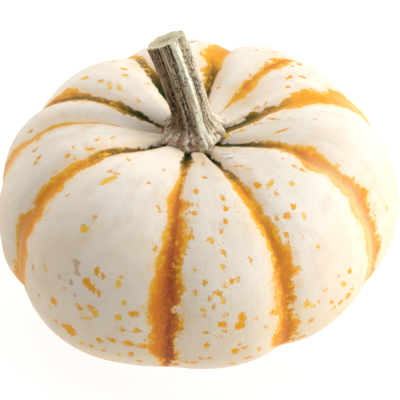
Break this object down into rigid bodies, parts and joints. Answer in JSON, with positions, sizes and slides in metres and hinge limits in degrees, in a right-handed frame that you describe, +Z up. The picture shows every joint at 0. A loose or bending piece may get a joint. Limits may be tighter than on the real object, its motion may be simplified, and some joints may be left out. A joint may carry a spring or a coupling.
{
  "type": "mini pumpkin",
  "caption": "Flattened ribbed mini pumpkin with a hollowed crown, a leaning ridged dry stem with a flat cut top, and low ribs pressed flat to rest on.",
  "frame": {"origin": "middle of the whole pumpkin's width and depth, on the surface it rests on", "axes": "+Z up, from the blossom end to the stem; -Y towards the side that the picture shows; +X to its right"},
  "size_m": [0.104, 0.1028, 0.0726],
  "materials": {
    "rind": "waxy cream rind with orange groove stripes and flecks",
    "dry_stem": "dry, ridged and speckled"
  },
  "bodies": {
    "root": {"fruit": "rind", "stem": "dry_stem"}
  },
  "joints": []
}
